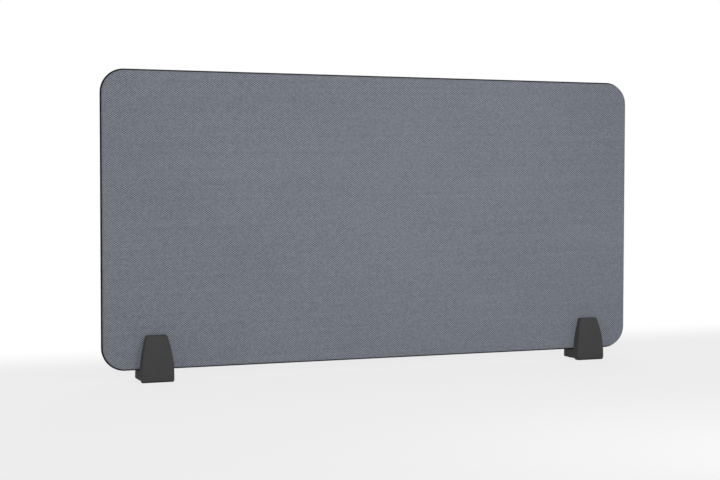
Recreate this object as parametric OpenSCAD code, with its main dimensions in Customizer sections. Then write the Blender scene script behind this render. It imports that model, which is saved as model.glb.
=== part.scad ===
// Free-standing acoustic divider screen for a desk, on two clamp feet
// X runs along the panel, Y from its front to its back, Z up from the desk

/* [Panel] */
// Length of the panel over its edge trim
panel_l = 1200; // [900:10:1800]
// Height of the panel over its edge trim
panel_h = 600; // [400:10:800]
// Radius of the panel's corners over the trim
corner_r = 48; // [35:1:90]
// Thickness of the stiff board inside the panel
board_t = 4; // [3:0.5:6]
// Thickness of each acoustic pad
pad_t = 7.2; // [5:0.2:10]
// Thickness of the woven cover
cover_t = 0.8; // [0.5:0.1:1.2]
// Rounding of a cover where it turns over its pad's edge
cover_edge_r = 3; // [1.5:0.5:5]
// Width of a cover's hem, turned in behind its pad
hem_w = 14; // [8:1:25]

/* [Edge trim] */
// How far the bead stands out of the panel's edge
bead_proud = 3; // [1.5:0.25:4]
// Width of the bead across the panel's thickness
bead_w = 3.6; // [3:0.2:5]
// Rounding of the bead's outer corners
bead_round = 1.2; // [0.5:0.1:1.4]
// Thickness of the stem behind the bead
stem_t = 1.4; // [1:0.1:1.6]
// Length of the stem, pressed into the board's edge
stem_l = 9; // [6:0.5:12]
// Height of each barb on the stem
barb_h = 0.35; // [0.2:0.05:0.4]
// Gap where the two ends of the trim meet, under the panel
butt_gap = 0.6; // [0.3:0.1:1]

/* [Feet] */
// Distance from the panel's left end to the middle of the left foot
left_foot_inset = 108; // [100:1:300]
// Distance from the panel's right end to the middle of the right foot
right_foot_inset = 102; // [100:1:300]
// Width of a foot along the panel
foot_w = 66; // [62:1:76]
// Depth of a foot from front to back
foot_d = 66; // [60:1:72]
// Height of a foot's jaws above the desk
foot_h = 93; // [88:1:100]
// Height of the slot's floor above the desk
slot_floor_h = 22.5; // [20:0.5:26]
// Height above which a foot curves inwards
curve_start_h = 10; // [6:1:20]
// Height above which a foot tapers straight, at the slope that its curves have reached
curve_end_h = 80; // [60:1:84]
// Radius of the curve of a foot's two sides
side_curve_r = 285; // [220:5:400]
// Radius of the curve of a foot's front and back faces
face_curve_r = 340; // [220:5:500]
// Rounding of a foot's upright edges
upright_edge_r = 3.5; // [3:0.5:6]
// Rounding of a foot's top edges
top_edge_r = 2.5; // [1:0.25:2.5]
// Free space between the panel's face and each jaw
jaw_gap = 1; // [0.9:0.1:1.4]

/* [Clamp] */
// Width of the pressure plate
plate_w = 40; // [34:1:44]
// Height of the pressure plate
plate_h = 36; // [28:1:38]
// Thickness of the pressure plate
plate_t = 3; // [2.6:0.1:3.4]
// Rounding of the pressure plate's corners
plate_corner_r = 4; // [2:0.5:6]
// Height of the clamp screw's axis above the desk
clamp_h = 48; // [46:1:50]
// How far the pressure plate moves back when it is let go
clamp_travel = 2.5; // [1.5:0.5:2.5]
// Diameter of the clamp screw
screw_d = 6; // [5:0.5:6.5]
// Width across the flats of the screw's hexagon socket
socket_flats = 3; // [2.5:0.5:3.5]
// Outer diameter of the threaded insert
insert_d = 8.6; // [8:0.2:9.4]

/* [Liners and rubber] */
// Distance from the front jaw's sides to its liner, at the liner's top
liner_inset = 1; // [0.5:0.5:6]
// How far the base pads stand out under a foot
base_pad_proud = 2.5; // [1.5:0.5:3]
// Depth of a base pad from front to back
base_pad_d = 17; // [12:1:18]
// Distance from the foot's sides to the front base pad
front_pad_inset = 1; // [1:0.5:8]
// Distance from the foot's sides to the rear base pad
rear_pad_inset = 10; // [1:0.5:16]

/* [Hidden] */

$fn = 64;
// How far a cutting shape runs past what it cuts
overrun = 1;
// Room round a pressed-in piece, and round a piece that turns or slides
press_gap = 0.05;
turn_gap = 0.1;
slide_gap = 0.3;
// Space left between the fabric and the facings at rest
grip_gap = 0.2;

// Panel
skin_t = pad_t + cover_t;
panel_half_t = board_t / 2 + skin_t;
board_l = panel_l - 2 * bead_proud;
board_h = panel_h - 2 * bead_proud;
board_corner_r = corner_r - bead_proud;
panel_mid_h = slot_floor_h + panel_h / 2;
groove_w = stem_t + 2 * (barb_h + press_gap);
groove_spare = 0.5;
// How far a pad's or a cover's rim reaches in past the hem, and the rim's whole width
rim_lap = 2;
rim_w = hem_w + rim_lap;
// Where the barbs start and end, counted along the stem from its bead
barb_shares = [[0.3, 0.5], [0.65, 0.85]];

// Foot
left_foot_x = left_foot_inset - panel_l / 2;
right_foot_x = panel_l / 2 - right_foot_inset;
jaw_y = panel_half_t + jaw_gap;
// Thickness of the liner on the front jaw and of the facing on the pressure plate
facing_t = jaw_gap - grip_gap;
slot_fillet_r = 1.5;
lead_in = 0.8;
base_edge = 0.8;
corner_steps = 8;
curve_steps = 18;
round_steps = 5;

// Base pads, their seats and the hollows between the seats
pad_seat_depth = 1.5;
pad_end_inset = 1.5;
pad_corner_r = 3;
pad_groove_w = 1.2;
pad_groove_depth = 0.8;
pad_grooves = 2;
hollow_wall = 3;
hollow_rib = 2.4;
hollow_roof = 6;
hollow_corner_r = 2;
hollows = 3;

// Clamp, counted backwards from the rear jaw
boss_d = 12;
boss_t = 2;
tip_wall = 1.2;
tip_d = 4.4;
tip_t = 1.4;
neck_d = 3.2;
socket_depth = 3;
screw_chamfer = 0.5;
insert_t = 6.4;
insert_waist = 0.4;
access_d = insert_d + 2 * slide_gap;
plate_back_y = jaw_y + plate_t;
boss_back_y = plate_back_y + boss_t;
tip_front_y = jaw_y + tip_wall + turn_gap;
neck_front_y = tip_front_y + tip_t;
thread_front_y = boss_back_y + slide_gap;
insert_front_y = boss_back_y + clamp_travel + slide_gap;
insert_back_y = insert_front_y + insert_t;
thread_back_y = insert_back_y - clamp_travel;
liner_low_h = slot_floor_h + slot_fillet_r + overrun;
liner_top_h = foot_h - top_edge_r - lead_in - overrun;
liner_w = foot_w - 2 * (come_in(liner_top_h, side_curve_r) + liner_inset);
liner_corner_r = 3;

cloth = [0.45, 0.47, 0.52];
black = [0.1, 0.1, 0.11];
plastic = [0.22, 0.22, 0.22];
rubber = [0.13, 0.13, 0.13];

// Shared shapes

// A flat rectangle with round corners, centred
module round_rect(l, h, r) {
    square([l, h - 2 * r], center = true);
    square([l - 2 * r, h], center = true);
    for (x = [-1, 1], y = [-1, 1])
        translate([x * (l / 2 - r), y * (h / 2 - r)]) circle(r);
}

// Carries a flat profile round such a rectangle, lying in XY: the profile's x points
// outwards from the rectangle's line, and its y along Z
module carried_round(l, h, r) {
    for (side = [0:3]) {
        run = side % 2 == 0 ? l : h;
        reach = side % 2 == 0 ? h : l;
        rotate([0, 0, 90 * side]) {
            translate([r - run / 2, reach / 2, 0])
                rotate([90, 0, 90]) linear_extrude(run - 2 * r) children();
            translate([run / 2 - r, reach / 2 - r, 0])
                rotate_extrude(angle = 90) translate([r, 0]) children();
        }
    }
}

// The rim of a plate of width w and thickness t: its outer edge is at x = 0, with the
// upper corner rounded
module rim_section(w, t, r) {
    translate([-w, 0]) square([w, t - r]);
    translate([-w, 0]) square([w - r, t]);
    translate([-r, t - r]) circle(r);
}

// A block with upright round corners, centred on X and Y, from z = 0
module round_block(l, w, t, r) {
    linear_extrude(t) round_rect(l, w, r);
}

// Stands a flat thing up: its X stays, its Y becomes Z and its Z points to the front
module stood_up() {
    rotate([90, 0, 0]) children();
}

// Lays a Z axis along Y, pointing to the back
module to_back() {
    rotate([-90, 0, 0]) children();
}

// Panel

module at_panel() {
    translate([0, 0, panel_mid_h]) stood_up() children();
}

// The board's outline, drawn in all round by an inset
module board_outline(inset) {
    round_rect(board_l - 2 * inset, board_h - 2 * inset, board_corner_r - inset);
}

// The acoustic pad's rim, with the step in its back that takes the cover's hem
module pad_section() {
    translate([-cover_t, cover_t])
        rim_section(rim_w - cover_t, pad_t - cover_t, cover_edge_r - cover_t);
    translate([-rim_w, 0]) square([rim_w - hem_w, 2 * cover_t]);
}

// The woven cover's rim: over the pad's face, round its edge and turned in behind it
module cover_section() {
    difference() {
        rim_section(rim_w, skin_t, cover_edge_r);
        pad_section();
        translate([-rim_w - overrun, -overrun])
            square([rim_w - hem_w + overrun, skin_t - cover_t + overrun]);
    }
}

module pad_shape() {
    carried_round(board_l, board_h, board_corner_r) pad_section();
    linear_extrude(pad_t) board_outline(hem_w + rim_lap / 2);
}

module cover_shape() {
    carried_round(board_l, board_h, board_corner_r) cover_section();
    translate([0, 0, pad_t]) linear_extrude(cover_t) board_outline(hem_w + rim_lap / 2);
}

module on_front() {
    at_panel() translate([0, 0, board_t / 2]) children();
}

module on_rear() {
    at_panel() mirror([0, 0, 1]) translate([0, 0, board_t / 2]) children();
}

module core_board() {
    color("burlywood") at_panel() difference() {
        translate([0, 0, -board_t / 2])
            linear_extrude(board_t) board_outline(0);
        carried_round(board_l, board_h, board_corner_r)
            translate([-stem_l - groove_spare, -groove_w / 2])
                square([stem_l + groove_spare + overrun, groove_w]);
    }
}

module front_pad() {
    color("gray") on_front() pad_shape();
}

module rear_pad() {
    color("gray") on_rear() pad_shape();
}

module front_cover() {
    color(cloth) on_front() cover_shape();
}

module rear_cover() {
    color(cloth) on_rear() cover_shape();
}

// The trim's section: a bead outside the board's edge and a barbed stem inside it
module trim_section() {
    intersection() {
        round_rect(2 * bead_proud, bead_w, bead_round);
        translate([0, -bead_w / 2]) square([bead_proud, bead_w]);
    }
    translate([-stem_l, -stem_t / 2]) square([stem_l + bead_proud / 2, stem_t]);
    for (share = barb_shares, side = [-1, 1])
        polygon([
            [-stem_l * share[0], 0],
            [-stem_l * share[0], side * (stem_t / 2 + barb_h)],
            [-stem_l * share[1], side * stem_t / 2],
            [-stem_l * share[1], 0]
        ]);
}

module edge_trim() {
    color(black) at_panel() difference() {
        carried_round(board_l, board_h, board_corner_r) trim_section();
        translate([0, -board_h / 2, 0])
            cube([butt_gap, 2 * (stem_l + bead_proud), 2 * bead_w], center = true);
    }
}

// Foot

// How far a curve of radius r has come in over a rise h, and the slope that it then has
function arc_in(h, r) = r - sqrt(r * r - h * h);
function arc_slope(h, r) = h / sqrt(r * r - h * h);

// How far a face that curves at radius r has come in at height z
function come_in(z, r) =
    z <= curve_start_h ? 0
    : z <= curve_end_h ? arc_in(z - curve_start_h, r)
    : arc_in(curve_end_h - curve_start_h, r)
        + (z - curve_end_h) * arc_slope(curve_end_h - curve_start_h, r);

// One level of the foot: [height, how far it is drawn in all round]
foot_levels = concat(
    [[base_pad_proud, base_edge], [base_pad_proud + base_edge, 0]],
    [for (k = [0:curve_steps])
        [curve_start_h + (curve_end_h - curve_start_h) * k / curve_steps, 0]],
    [[foot_h - top_edge_r, 0]],
    [for (k = [1:round_steps]) let (a = 90 * k / round_steps)
        [foot_h - top_edge_r * (1 - sin(a)), top_edge_r * (1 - cos(a))]]
);

// The points of a rectangle with round corners at height z, counter-clockwise
function ring(half_w, half_d, r, z) = [
    for (corner = [0:3], k = [0:corner_steps])
        let (
            a = 90 * (corner + k / corner_steps),
            x = (corner == 0 || corner == 3 ? 1 : -1) * (half_w - r),
            y = (corner < 2 ? 1 : -1) * (half_d - r)
        )
        [x + r * cos(a), y + r * sin(a), z]
];

function foot_ring(level) = ring(
    foot_w / 2 - come_in(level[0], side_curve_r) - level[1],
    foot_d / 2 - come_in(level[0], face_curve_r) - level[1],
    upright_edge_r - level[1],
    level[0]
);

// Skins a stack of rings that have equal counts of points, lowest first
module loft(rings) {
    n = len(rings[0]);
    last = len(rings) - 1;
    polyhedron(
        points = [for (one = rings, p = one) p],
        faces = concat(
            [[for (j = [0:n - 1]) j]],
            [for (i = [0:last - 1], j = [0:n - 1])
                [i * n + j, (i + 1) * n + j, (i + 1) * n + (j + 1) % n]],
            [for (i = [0:last - 1], j = [0:n - 1])
                [i * n + j, (i + 1) * n + (j + 1) % n, i * n + (j + 1) % n]],
            [[for (j = [0:n - 1]) last * n + n - 1 - j]]
        )
    );
}

// The slot's section, front to back and up: round at its floor, flared at its mouth
module slot_section() {
    translate([-jaw_y, slot_floor_h + slot_fillet_r])
        square([2 * jaw_y, foot_h + overrun - slot_floor_h - slot_fillet_r]);
    translate([slot_fillet_r - jaw_y, slot_floor_h])
        square([2 * (jaw_y - slot_fillet_r), 2 * slot_fillet_r]);
    for (y = [-1, 1])
        translate([y * (jaw_y - slot_fillet_r), slot_floor_h + slot_fillet_r])
            circle(slot_fillet_r);
    polygon([
        [-jaw_y, foot_h - lead_in], [-jaw_y - lead_in - overrun, foot_h + overrun],
        [jaw_y + lead_in + overrun, foot_h + overrun], [jaw_y, foot_h - lead_in]
    ]);
}

function base_pad_l(inset) = foot_w - 2 * inset;
base_pad_y = foot_d / 2 - pad_end_inset - base_pad_d / 2;

// The hollows moulded into the foot's underside, between its two base pads
module base_hollows() {
    field_l = foot_w - 2 * hollow_wall;
    one_l = (field_l - (hollows - 1) * hollow_rib) / hollows;
    one_d = 2 * (base_pad_y - base_pad_d / 2 - hollow_wall);
    for (k = [0:hollows - 1])
        translate([(one_l - field_l) / 2 + k * (one_l + hollow_rib), 0, base_pad_proud - overrun])
            round_block(one_l, one_d, slot_floor_h - hollow_roof - base_pad_proud + overrun,
                hollow_corner_r);
}

module foot_body() {
    color(plastic) difference() {
        loft([for (level = foot_levels) foot_ring(level)]);
        translate([-foot_w / 2 - overrun, 0, 0])
            rotate([90, 0, 90]) linear_extrude(foot_w + 2 * overrun) slot_section();
        // Pocket for the pressure plate, with room behind for its boss
        translate([0, jaw_y - overrun, clamp_h]) to_back()
            round_block(plate_w + 2 * slide_gap, plate_h + 2 * slide_gap,
                overrun + plate_t + clamp_travel + slide_gap, plate_corner_r + slide_gap);
        translate([0, jaw_y, clamp_h]) to_back() {
            cylinder(d = boss_d + 2 * slide_gap, h = insert_front_y - jaw_y);
            cylinder(d = insert_d + 2 * press_gap, h = insert_back_y - jaw_y);
            cylinder(d = access_d, h = foot_d);
        }
        for (side = [-1, 1])
            translate([0, side * base_pad_y, base_pad_proud - overrun])
                round_block(
                    base_pad_l(side < 0 ? front_pad_inset : rear_pad_inset) + 2 * press_gap,
                    base_pad_d + 2 * press_gap, pad_seat_depth + overrun,
                    pad_corner_r + press_gap);
        base_hollows();
    }
}

// A rubber pad, half sunk in the foot's underside, with grooves where it meets the desk
module base_pad(inset) {
    color(rubber) difference() {
        round_block(base_pad_l(inset), base_pad_d, base_pad_proud + pad_seat_depth,
            pad_corner_r);
        for (k = [1:pad_grooves])
            translate([0, base_pad_d * (k / (pad_grooves + 1) - 1 / 2), 0])
                cube([foot_w, pad_groove_w, 2 * pad_groove_depth], center = true);
    }
}

module jaw_liner() {
    color(rubber) translate([0, -jaw_y, (liner_low_h + liner_top_h) / 2]) to_back()
        round_block(liner_w, liner_top_h - liner_low_h, facing_t, liner_corner_r);
}

// The pressure plate, with a boss behind it that the screw's tip snaps into
module clamp_plate() {
    color("dimgray") translate([0, 0, clamp_h]) difference() {
        union() {
            translate([0, jaw_y, 0]) to_back()
                round_block(plate_w, plate_h, plate_t, plate_corner_r);
            translate([0, plate_back_y, 0]) to_back() cylinder(d = boss_d, h = boss_t);
        }
        translate([0, tip_front_y - turn_gap, 0]) to_back()
            cylinder(d = tip_d + 2 * turn_gap, h = tip_t + 2 * turn_gap);
        translate([0, tip_front_y, 0]) to_back()
            cylinder(d = neck_d + 2 * turn_gap, h = boss_back_y - tip_front_y + overrun);
    }
}

module clamp_pad() {
    color(rubber) translate([0, jaw_y - facing_t, clamp_h]) to_back()
        round_block(plate_w - 2 * facing_t, plate_h - 2 * facing_t, facing_t,
            plate_corner_r - facing_t);
}

// The set screw: a snap-in tip, a neck, and the threaded length with its hexagon socket
module clamp_screw() {
    color("silver") translate([0, 0, clamp_h]) difference() {
        union() {
            translate([0, tip_front_y, 0]) to_back() cylinder(d = tip_d, h = tip_t);
            translate([0, neck_front_y, 0]) to_back()
                cylinder(d = neck_d, h = thread_front_y - neck_front_y);
            translate([0, thread_front_y, 0]) to_back()
                cylinder(d1 = screw_d - 2 * screw_chamfer, d2 = screw_d, h = screw_chamfer);
            translate([0, thread_front_y + screw_chamfer, 0]) to_back()
                cylinder(d = screw_d,
                    h = thread_back_y - thread_front_y - 2 * screw_chamfer);
            translate([0, thread_back_y - screw_chamfer, 0]) to_back()
                cylinder(d1 = screw_d, d2 = screw_d - 2 * screw_chamfer, h = screw_chamfer);
        }
        translate([0, thread_back_y - socket_depth, 0]) to_back()
            cylinder(d = socket_flats / cos(30), h = socket_depth + overrun, $fn = 6);
    }
}

// The threaded insert, waisted between its two knurled bands
module screw_insert() {
    color("goldenrod") translate([0, insert_front_y, clamp_h]) to_back()
        rotate_extrude() polygon([
            [screw_d / 2 + turn_gap, 0],
            [insert_d / 2, 0],
            [insert_d / 2, insert_t / 3],
            [insert_d / 2 - insert_waist, insert_t / 3 + insert_waist],
            [insert_d / 2 - insert_waist, insert_t * 2 / 3 - insert_waist],
            [insert_d / 2, insert_t * 2 / 3],
            [insert_d / 2, insert_t],
            [screw_d / 2 + turn_gap, insert_t]
        ]);
}

module front_base_pad() {
    translate([0, -base_pad_y, 0]) base_pad(front_pad_inset);
}

module rear_base_pad() {
    translate([0, base_pad_y, 0]) base_pad(rear_pad_inset);
}

module at_left() {
    translate([left_foot_x, 0, 0]) children();
}

module at_right() {
    translate([right_foot_x, 0, 0]) children();
}

core_board();
front_pad();
rear_pad();
front_cover();
rear_cover();
edge_trim();
at_left() foot_body();  // left_foot_body
at_left() front_base_pad();  // left_front_base_pad
at_left() rear_base_pad();  // left_rear_base_pad
at_left() jaw_liner();  // left_jaw_liner
at_left() clamp_plate();  // left_clamp_plate
at_left() clamp_pad();  // left_clamp_pad
at_left() clamp_screw();  // left_clamp_screw
at_left() screw_insert();  // left_screw_insert
at_right() foot_body();  // right_foot_body
at_right() front_base_pad();  // right_front_base_pad
at_right() rear_base_pad();  // right_rear_base_pad
at_right() jaw_liner();  // right_jaw_liner
at_right() clamp_plate();  // right_clamp_plate
at_right() clamp_pad();  // right_clamp_pad
at_right() clamp_screw();  // right_clamp_screw
at_right() screw_insert();  // right_screw_insert
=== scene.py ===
"""A desk divider screen: a woven panel with a black edge bead, standing on two clamp feet.

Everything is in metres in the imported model's own frame: X along the panel, Y from its front
to its back, Z up from the desk.
"""

import logging
import math
from collections.abc import Mapping
from dataclasses import dataclass
from enum import Enum
from typing import Any

import bmesh
import bpy
import numpy as np
from mathutils import Matrix, Vector


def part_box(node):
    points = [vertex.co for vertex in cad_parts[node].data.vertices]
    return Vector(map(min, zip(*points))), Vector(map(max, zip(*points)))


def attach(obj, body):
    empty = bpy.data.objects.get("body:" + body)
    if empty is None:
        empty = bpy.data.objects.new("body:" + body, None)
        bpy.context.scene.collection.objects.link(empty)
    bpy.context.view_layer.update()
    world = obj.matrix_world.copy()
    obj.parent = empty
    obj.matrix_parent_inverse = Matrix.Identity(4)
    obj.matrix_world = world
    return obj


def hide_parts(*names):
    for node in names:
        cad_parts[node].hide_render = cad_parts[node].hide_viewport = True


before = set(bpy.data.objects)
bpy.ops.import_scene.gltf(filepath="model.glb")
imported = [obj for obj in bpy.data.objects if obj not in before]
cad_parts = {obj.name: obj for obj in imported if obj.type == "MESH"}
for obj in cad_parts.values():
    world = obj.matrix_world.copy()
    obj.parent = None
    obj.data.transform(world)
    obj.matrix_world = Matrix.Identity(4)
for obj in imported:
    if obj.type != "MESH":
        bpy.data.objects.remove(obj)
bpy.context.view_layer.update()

LOG = logging.getLogger("divider_screen")
MM = 0.001
TURN = 2 * math.pi
WHITE = (1.0, 1.0, 1.0)
JOIN_WITHIN = 2e-6
FLAT_WITHIN = math.radians(0.2)
Number = float | int
Pair = tuple[float, float]
Place = tuple[float, float, float]
Colour = tuple[float, float, float]


class Side(Enum):
    """The two feet, each with the word that starts the names of its pieces."""

    LEFT = "left"
    RIGHT = "right"


class Face(Enum):
    """The panel's two faces, each with the direction along Y in which it looks."""

    FRONT = ("front", -1.0)
    REAR = ("rear", 1.0)

    @property
    def label(self) -> str:
        """The word that starts the names of this face's pieces."""
        return self.value[0]

    @property
    def way(self) -> float:
        """-1 where the face looks to the front and 1 where it looks to the back."""
        return self.value[1]


# Shader expressions


class Signal:
    """A node's output socket that takes part in Python expressions on numbers."""

    def __init__(self, graph: "Graph", socket: bpy.types.NodeSocket) -> None:
        """Wraps a socket.

        Args:
            graph: the node graph that the socket is in.
            socket: the output socket.
        """
        self.graph = graph
        self.socket = socket

    def maths(self, operation: str, *others: "Signal | Number") -> "Signal":
        """Adds a Math node with this signal as its first value."""
        return self.graph.maths(operation, self, *others)

    def __add__(self, other: "Signal | Number") -> "Signal":
        """This plus the other."""
        return self.maths("ADD", other)

    def __radd__(self, other: Number) -> "Signal":
        """The other plus this."""
        return self.graph.maths("ADD", other, self)

    def __sub__(self, other: "Signal | Number") -> "Signal":
        """This less the other."""
        return self.maths("SUBTRACT", other)

    def __rsub__(self, other: Number) -> "Signal":
        """The other less this."""
        return self.graph.maths("SUBTRACT", other, self)

    def __mul__(self, other: "Signal | Number") -> "Signal":
        """This times the other."""
        return self.maths("MULTIPLY", other)

    def __rmul__(self, other: Number) -> "Signal":
        """The other times this."""
        return self.graph.maths("MULTIPLY", other, self)

    def __truediv__(self, other: "Signal | Number") -> "Signal":
        """This over the other."""
        return self.maths("DIVIDE", other)

    def __rtruediv__(self, other: Number) -> "Signal":
        """The other over this."""
        return self.graph.maths("DIVIDE", other, self)

    def __pow__(self, other: Number) -> "Signal":
        """This to a power."""
        return self.maths("POWER", other)

    def __rpow__(self, other: Number) -> "Signal":
        """The other to the power of this."""
        return self.graph.maths("POWER", other, self)

    def __abs__(self) -> "Signal":
        """This without its sign."""
        return self.maths("ABSOLUTE")

    def sine(self) -> "Signal":
        """The sine of this, in radians."""
        return self.maths("SINE")

    def cosine(self) -> "Signal":
        """The cosine of this, in radians."""
        return self.maths("COSINE")

    def floor(self) -> "Signal":
        """The whole number at or below this."""
        return self.maths("FLOOR")

    def at_least(self, other: "Signal | Number") -> "Signal":
        """The larger of this and the other."""
        return self.maths("MAXIMUM", other)

    def step_up(self, low: float, high: float) -> "Signal":
        """Makes a smooth step.

        Args:
            low: the value up to which the step is 0.
            high: the value from which it is 1.

        Returns:
            The step, with a smooth rise between the two.
        """
        node = self.graph.add(
            "ShaderNodeMapRange",
            {"interpolation_type": "SMOOTHSTEP", "clamp": True},
            {"Value": self, "From Min": low, "From Max": high, "To Min": 0.0, "To Max": 1.0},
        )
        return Signal(self.graph, node.outputs["Result"])


class Graph:
    """A material's or the world's node tree under construction."""

    def __init__(self, tree: bpy.types.NodeTree) -> None:
        """Empties a node tree to build in it.

        Args:
            tree: the node tree.
        """
        self.tree = tree
        tree.nodes.clear()

    def add(
        self,
        kind: str,
        settings: Mapping[str, Any] | None = None,
        inputs: Mapping[str | int, Any] | None = None,
    ) -> bpy.types.Node:
        """Adds one node.

        Args:
            kind: the node's type.
            settings: its own properties, set before its sockets.
            inputs: a value, a socket or a signal for each input, by name or number.

        Returns:
            The node.
        """
        node = self.tree.nodes.new(kind)
        for name, value in (settings or {}).items():
            setattr(node, name, value)
        for name, value in (inputs or {}).items():
            self.feed(node.inputs[name], value)
        return node

    def feed(self, socket: bpy.types.NodeSocket, value: Any) -> None:
        """Gives an input socket a link or a constant.

        Args:
            socket: the input socket.
            value: a signal, an output socket, a number or a colour.
        """
        if isinstance(value, Signal):
            self.tree.links.new(value.socket, socket)
        elif isinstance(value, bpy.types.NodeSocket):
            self.tree.links.new(value, socket)
        elif socket.type == "RGBA" and len(value) == 3:
            socket.default_value = (*value, 1.0)
        else:
            socket.default_value = value

    def maths(self, operation: str, *values: Signal | Number) -> Signal:
        """Adds a Math node on one, two or three values."""
        node = self.add("ShaderNodeMath", {"operation": operation}, dict(enumerate(values)))
        return Signal(self, node.outputs[0])

    def noise(self, vector: Any, scale: float, detail: float = 2.0, rough: float = 0.5) -> Signal:
        """Adds a soft noise.

        Args:
            vector: where the noise is read.
            scale: its features for each unit of the vector, which is a metre for a place.
            detail: how many finer layers it has.
            rough: how strong the finer layers are.

        Returns:
            The noise, from 0 to 1.
        """
        node = self.add(
            "ShaderNodeTexNoise",
            {"noise_dimensions": "3D"},
            {"Vector": vector, "Scale": scale, "Detail": detail, "Roughness": rough},
        )
        return Signal(self, node.outputs["Fac"])

    def vector(self, x: Any = 0.0, y: Any = 0.0, z: Any = 0.0) -> bpy.types.NodeSocket:
        """Joins three numbers into a vector."""
        return self.add("ShaderNodeCombineXYZ", None, {"X": x, "Y": y, "Z": z}).outputs[0]

    def parts(self, vector: Any) -> tuple[Signal, Signal, Signal]:
        """Splits a vector into its three numbers."""
        node = self.add("ShaderNodeSeparateXYZ", None, {"Vector": vector})
        return tuple(Signal(self, socket) for socket in node.outputs)

    def blend(self, share: Any, first: Any, second: Any) -> bpy.types.NodeSocket:
        """Mixes two colours, the first where the share is 0."""
        node = self.add("ShaderNodeMix", {"data_type": "RGBA"}, {0: share, 6: first, 7: second})
        return node.outputs[2]

    def bump(self, height: Signal, depth: float, strength: float) -> bpy.types.NodeSocket:
        """Turns a height from 0 to 1, over a depth in metres, into a normal."""
        relief = {"Strength": strength, "Distance": depth, "Height": height}
        return self.add("ShaderNodeBump", None, relief).outputs["Normal"]

    def seen(self) -> Signal:
        """Finds the rays that show a background.

        Returns:
            1 on the camera's rays and on those off or through a piece, and 0 on the others.
        """
        rays = self.add("ShaderNodeLightPath")
        camera, glossy, through = (
            Signal(self, rays.outputs[name])
            for name in ("Is Camera Ray", "Is Glossy Ray", "Is Transmission Ray")
        )
        return camera.at_least(glossy).at_least(through)

    def object_place(self) -> bpy.types.NodeSocket:
        """The point's place in its object, which is its place in the frame at rest."""
        return self.add("ShaderNodeTexCoord").outputs["Object"]

    def cloth_place(self, layer: str) -> bpy.types.NodeSocket:
        """The point's place on the flat cloth, in metres, from a named layer."""
        return self.add("ShaderNodeUVMap", {"uv_map": layer}).outputs["UV"]

    def show(self, output: str, share: Signal, lit: bpy.types.Node, seen: bpy.types.Node) -> None:
        """Gives a new output node a mix of two shaders.

        Args:
            output: the output node's type.
            share: how much of the second shader is in the mix.
            lit: the shader where the share is 0.
            seen: the shader where the share is 1.
        """
        inputs = {0: share, 1: lit.outputs[0], 2: seen.outputs[0]}
        mixed = self.add("ShaderNodeMixShader", None, inputs)
        self.add(output, None, {0: mixed.outputs[0]})


# Finishes


@dataclass(frozen=True)
class Finish:
    """What every finish has: the record's slot, a colour and the gloss of its surface.

    In the finishes below a scale counts features a metre, and steps are the values of a
    noise between which a mark fades in. A tone weight says how far a mark shifts the
    colour, and a rough weight how far it shifts the roughness. Depth is the relief's depth
    and relief its strength.
    """

    slot: str
    colour: Colour
    roughness: float

    def material(self) -> bpy.types.Material:
        """Builds this finish once, and gives the same material each time after that.

        Returns:
            The material.
        """
        known = bpy.data.materials.get("finish_" + self.slot)
        if known:
            return known
        made = bpy.data.materials.new("finish_" + self.slot)
        made.use_nodes = True
        made.diffuse_color = (*self.colour, 1.0)
        graph = Graph(made.node_tree)
        inputs = {"Roughness": self.roughness} | self.dress(graph)
        shader = graph.add("ShaderNodeBsdfPrincipled", None, inputs)
        graph.add("ShaderNodeOutputMaterial", None, {0: shader.outputs[0]})
        return made

    def shade(self, times: float, lift: float = 0.0) -> Colour:
        """The colour times a factor, plus a lift."""
        return tuple(times * c + lift for c in self.colour)

    def dress(self, graph: Graph) -> dict[str, Any]:
        """Works out what this finish gives its shader, apart from a plain roughness.

        Args:
            graph: the material's node graph.

        Returns:
            The shader's inputs by name.
        """
        raise NotImplementedError


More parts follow.
